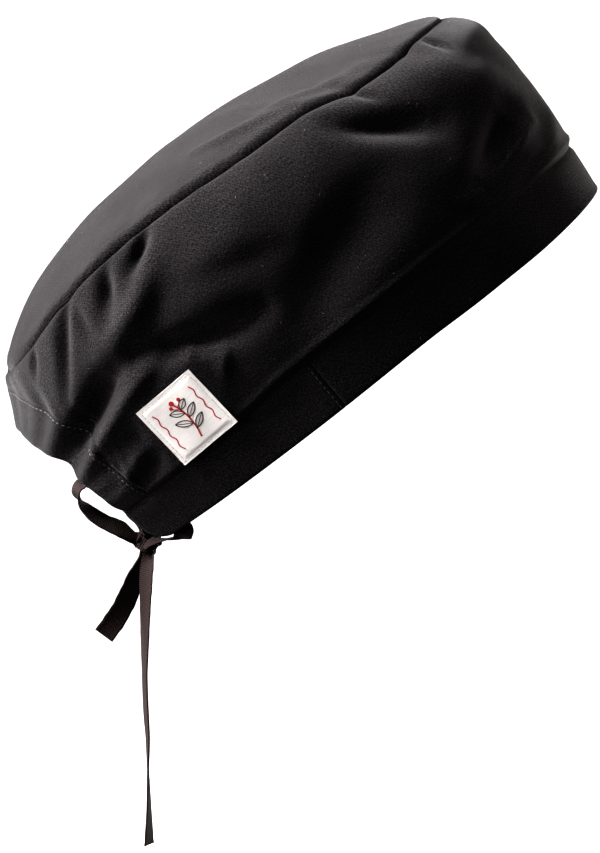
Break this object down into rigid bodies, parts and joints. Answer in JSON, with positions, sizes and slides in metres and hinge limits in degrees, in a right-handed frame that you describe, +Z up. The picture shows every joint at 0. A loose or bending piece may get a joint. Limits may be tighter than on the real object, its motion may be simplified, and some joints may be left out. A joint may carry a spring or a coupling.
{
  "type": "scrub cap",
  "caption": "Tie-back cloth scrub cap with an oval crown, soft side panel, headband, hemmed nape opening and a half bow of flat tape.",
  "frame": {"origin": "middle of the head opening, in the plane of the rim, where the head goes in", "axes": "+Z up as the ties hang; +X level, towards the cap's front, which is tipped up by 38.5 degrees; +Y level, towards the wearer's left"},
  "size_m": [0.2175, 0.1645, 0.3067],
  "materials": {
    "cap_cloth": "matte black poly-cotton twill",
    "tie_tape": "black woven tape with a brown cast",
    "label_satin": "white woven satin with red and grey figures"
  },
  "bodies": {
    "root": {"crown": "cap_cloth", "side_panel": "cap_cloth", "nape_hem": "cap_cloth", "band_front": "cap_cloth", "band_rear_right": "cap_cloth", "band_rear_left": "cap_cloth", "label": "label_satin", "tie_lead_right": "tie_tape", "tie_lead_left": "tie_tape", "bow_knot": "tie_tape", "bow_loop": "tie_tape", "tie_tail_short": "tie_tape", "tie_tail_long": "tie_tape"}
  },
  "joints": []
}
